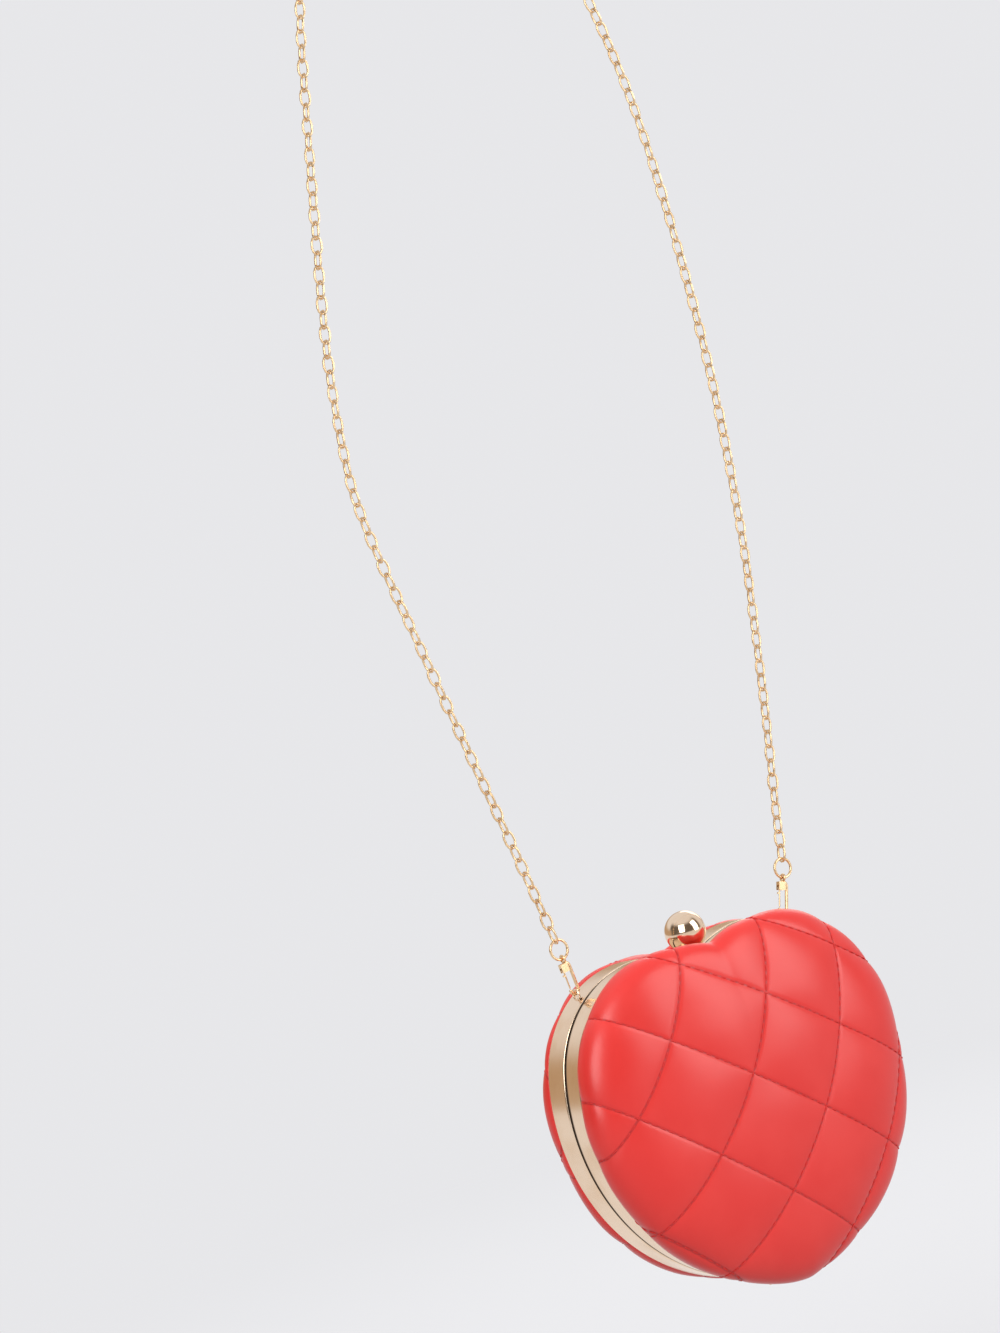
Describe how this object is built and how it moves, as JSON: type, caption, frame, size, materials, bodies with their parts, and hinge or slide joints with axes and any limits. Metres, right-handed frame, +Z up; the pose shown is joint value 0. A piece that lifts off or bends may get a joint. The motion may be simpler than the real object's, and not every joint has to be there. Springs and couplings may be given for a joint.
{
  "type": "heart-shaped purse",
  "caption": "Heart-shaped hard-case purse with diamond-quilted covers, gold bands, a ball clasp, a hinge at the tip and a chain shoulder strap on spring hooks.",
  "frame": {"origin": "where the middle of the chain rests on a shoulder or a peg, on the chain's centreline", "axes": "+X to the viewer's right when the front cover is seen, +Y to the rear cover, +Z up"},
  "size_m": [0.2114, 0.0682, 0.6787],
  "materials": {
    "cover_leather": "satin",
    "gold_metal": "polished pale gold",
    "shell_board": "matt",
    "lining_cloth": "satin cloth",
    "spring_steel": "plain"
  },
  "bodies": {
    "strap": {"chain_left": "gold_metal", "chain_shoulder": "gold_metal", "chain_right": "gold_metal", "left_jump_ring": "gold_metal", "right_jump_ring": "gold_metal", "left_hook": "gold_metal", "right_hook": "gold_metal", "left_rivet": "gold_metal", "right_rivet": "gold_metal"},
    "left_hook_gate": {"left_gate": "gold_metal"},
    "right_hook_gate": {"right_gate": "gold_metal"},
    "rear_half": {"rear_cover": "cover_leather", "rear_shell": "shell_board", "rear_lining": "lining_cloth", "rear_frame": "gold_metal", "hinge_rear_leaf": "gold_metal", "hinge_pin": "gold_metal", "left_ear": "gold_metal", "right_ear": "gold_metal", "clasp_catch": "gold_metal"},
    "front_half": {"front_cover": "cover_leather", "front_shell": "shell_board", "front_lining": "lining_cloth", "front_frame": "gold_metal", "hinge_front_leaf": "gold_metal", "clasp_bracket": "gold_metal", "clasp_pin": "gold_metal", "clasp_collar": "gold_metal", "clasp_spring": "spring_steel"},
    "clasp": {"clasp_lever": "gold_metal", "clasp_stem": "gold_metal", "clasp_ball": "gold_metal"}
  },
  "joints": [
    {"name": "purse_swing", "type": "hinge", "parent": "strap", "child": "rear_half", "pos_m": [0, -0.0029, -0.52383], "axis": [1, 0, 0], "range_deg": [-35, 35]},
    {"name": "lid_hinge", "type": "hinge", "parent": "rear_half", "child": "front_half", "pos_m": [-0.026, -0.0057, -0.6744], "axis": [1, 0, 0], "range_deg": [0, 80]},
    {"name": "clasp_rock", "type": "hinge", "parent": "front_half", "child": "clasp", "pos_m": [-0.026, -0.0105, -0.53636], "axis": [-1, 0, 0], "range_deg": [0, 8], "stiffness_Nm_per_rad": 0.3, "springref_deg": -5.73, "deforming": ["clasp_spring"]},
    {"name": "left_gate_turn", "type": "hinge", "parent": "strap", "child": "left_hook_gate", "pos_m": [-0.08795, -0.0029, -0.51243], "axis": [0, -1, 0], "range_deg": [0, 14], "stiffness_Nm_per_rad": 0.002, "springref_deg": -11.46},
    {"name": "right_gate_turn", "type": "hinge", "parent": "strap", "child": "right_hook_gate", "pos_m": [0.03496, -0.0029, -0.51221], "axis": [0, -1, 0], "range_deg": [0, 14], "stiffness_Nm_per_rad": 0.002, "springref_deg": -11.46}
  ]
}
